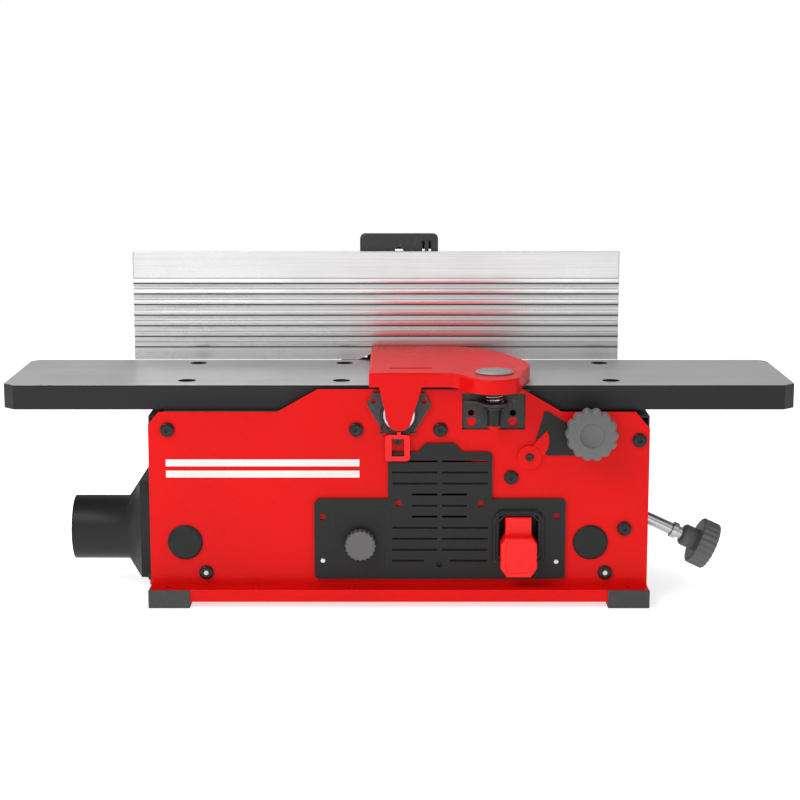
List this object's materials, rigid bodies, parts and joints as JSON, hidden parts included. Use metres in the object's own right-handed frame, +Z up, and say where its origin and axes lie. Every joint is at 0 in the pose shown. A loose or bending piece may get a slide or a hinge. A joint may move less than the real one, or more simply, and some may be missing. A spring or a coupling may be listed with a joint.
{
  "type": "jointer",
  "caption": "Benchtop jointer with two long tables, a sliding and tilting fence, a sprung swing guard and a belt-driven two-knife cutterhead in a sheet-metal base.",
  "frame": {"origin": "on the floor under the middle of the machine's bounding box", "axes": "+X along the tables to the infeed end, -Y towards the operator, +Z up"},
  "size_m": [0.762, 0.35, 0.3428],
  "materials": {
    "red_enamel": "smooth gloss enamel",
    "black_paint": "black semi-matt paint",
    "machined_aluminium": "ground and machined top, painted edges",
    "brushed_aluminium": "brushed along its length",
    "dark_casting": "dark grey satin casting",
    "bright_steel": "ground steel",
    "black_steel": "black oxide",
    "grey_plastic": "grey moulded plastic",
    "black_plastic": "black moulded plastic, fine grain",
    "rubber": "dark grey rubber"
  },
  "bodies": {
    "base": {"front_panel": "red_enamel", "rear_panel": "red_enamel", "left_end_panel": "black_paint", "right_end_panel": "black_paint", "foot_front_left": "rubber", "foot_front_right": "rubber", "foot_rear_left": "rubber", "foot_rear_right": "rubber", "outfeed_bed": "dark_casting", "outfeed_table": "machined_aluminium", "infeed_bed": "dark_casting", "front_bearing_plate": "dark_casting", "rear_bearing_plate": "dark_casting", "front_bearing": "bright_steel", "rear_bearing": "bright_steel", "motor": "black_steel", "belt_cover": "black_plastic", "drive_belt": "rubber", "dust_chute": "black_plastic", "dust_port": "black_plastic", "control_panel": "black_plastic", "speed_control": "black_plastic", "switch_body": "black_plastic", "depth_scale": "black_paint", "cord_gland": "black_plastic", "guard_bracket": "dark_casting", "guard_spring": "bright_steel", "fence_support": "dark_casting", "service_cap_left": "black_plastic", "service_cap_right": "black_plastic", "panel_screw_bed_left": "black_steel", "panel_screw_bed_middle": "black_steel", "panel_screw_way_low": "black_steel", "panel_screw_way_high": "black_steel"},
    "height_screw": {"height_screw": "bright_steel", "height_knob": "grey_plastic"},
    "infeed": {"infeed_table": "machined_aluminium", "infeed_saddle": "dark_casting"},
    "table_lock": {"table_lock_knob": "grey_plastic"},
    "pointer": {"depth_pointer": "red_enamel"},
    "cutterhead": {"cutterhead": "bright_steel", "knife_a": "bright_steel", "knife_b": "bright_steel", "wedge_a": "black_steel", "wedge_b": "black_steel", "driven_pulley": "bright_steel"},
    "rotor": {"motor_shaft": "bright_steel", "drive_pulley": "bright_steel"},
    "guard_post": {"guard_post": "black_steel"},
    "guard": {"guard": "red_enamel", "guard_cap": "grey_plastic"},
    "carriage": {"fence_carriage": "dark_casting", "tilt_pin": "bright_steel"},
    "fence": {"fence": "brushed_aluminium", "fence_bracket": "dark_casting"},
    "slide_lock": {"slide_lock_lever": "grey_plastic"},
    "tilt_lock": {"tilt_lock_lever": "grey_plastic"},
    "speed_knob": {"speed_knob": "grey_plastic"},
    "paddle": {"switch_paddle": "red_enamel"},
    "head_lock": {"head_lock": "red_enamel"}
  },
  "joints": [
    {"name": "height_screw_turn", "type": "hinge", "parent": "base", "child": "height_screw", "pos_m": [0.242, -0.054, 0.0708], "axis": [0.9063, 0, -0.4226], "range_deg": [0, 1080]},
    {"name": "infeed_slide", "type": "slide", "parent": "base", "child": "infeed", "axis": [0.9063, 0, -0.4226], "range_m": [0, 0.0075]},
    {"name": "pointer_turn", "type": "hinge", "parent": "base", "child": "pointer", "pos_m": [0.1252, -0.1231, 0.1439], "axis": [0, 1, 0], "range_deg": [0, 45]},
    {"name": "table_lock_turn", "type": "hinge", "parent": "infeed", "child": "table_lock", "pos_m": [0.1825, -0.135, 0.1699], "axis": [0, -1, 0], "range_deg": [0, 180]},
    {"name": "cutterhead_spin", "type": "hinge", "parent": "base", "child": "cutterhead", "pos_m": [0, -0.1266, 0.1851], "axis": [0, 1, 0], "continuous": true},
    {"name": "motor_spin", "type": "hinge", "parent": "base", "child": "rotor", "pos_m": [0.04, -0.096, 0.092], "axis": [0, 1, 0], "continuous": true},
    {"name": "guard_post_turn", "type": "hinge", "parent": "base", "child": "guard_post", "pos_m": [0.0905, -0.1322, 0.1764], "axis": [0, 0, 1], "range_deg": [0, 79.93]},
    {"name": "guard_swing", "type": "hinge", "parent": "guard_post", "child": "guard", "pos_m": [0.0905, -0.1322, 0.213], "axis": [0, 0, 1], "range_deg": [-0.8, 70], "stiffness_Nm_per_rad": 0.3, "springref_deg": -28.65},
    {"name": "fence_slide", "type": "slide", "parent": "base", "child": "carriage", "axis": [0, -1, 0], "range_m": [0, 0.09]},
    {"name": "fence_tilt", "type": "hinge", "parent": "carriage", "child": "fence", "pos_m": [0, 0.0615, 0.2204], "axis": [-1, 0, 0], "range_deg": [0, 45]},
    {"name": "slide_lock_turn", "type": "hinge", "parent": "carriage", "child": "slide_lock", "pos_m": [-0.034, 0.156, 0.2124], "axis": [0, 0, 1], "range_deg": [-60, 0]},
    {"name": "tilt_lock_turn", "type": "hinge", "parent": "carriage", "child": "tilt_lock", "pos_m": [0.034, 0.0615, 0.2204], "axis": [-1, 0, 0], "range_deg": [0, 24]},
    {"name": "speed_knob_turn", "type": "hinge", "parent": "base", "child": "speed_knob", "pos_m": [-0.0371, -0.1256, 0.0592], "axis": [0, -1, 0], "range_deg": [-270, 0]},
    {"name": "paddle_press", "type": "hinge", "parent": "base", "child": "paddle", "pos_m": [0.115, -0.124, 0.0824], "axis": [1, 0, 0], "range_deg": [0, 6], "stiffness_Nm_per_rad": 0.2, "springref_deg": -17.19},
    {"name": "head_lock_slide", "type": "slide", "parent": "base", "child": "head_lock", "axis": [0, 0, 1], "range_m": [0, 0.007], "stiffness_N_per_m": 60, "springref_m": -0.01}
  ],
  "couplings": [
    {"joint": "height_screw_turn", "follows": "infeed_slide", "rad_per_m": 2513.3},
    {"joint": "pointer_turn", "follows": "infeed_slide", "rad_per_m": 104.72},
    {"joint": "motor_spin", "follows": "cutterhead_spin", "ratio": 0.80556},
    {"joint": "guard_post_turn", "follows": "fence_slide", "rad_per_m": 15.5}
  ]
}
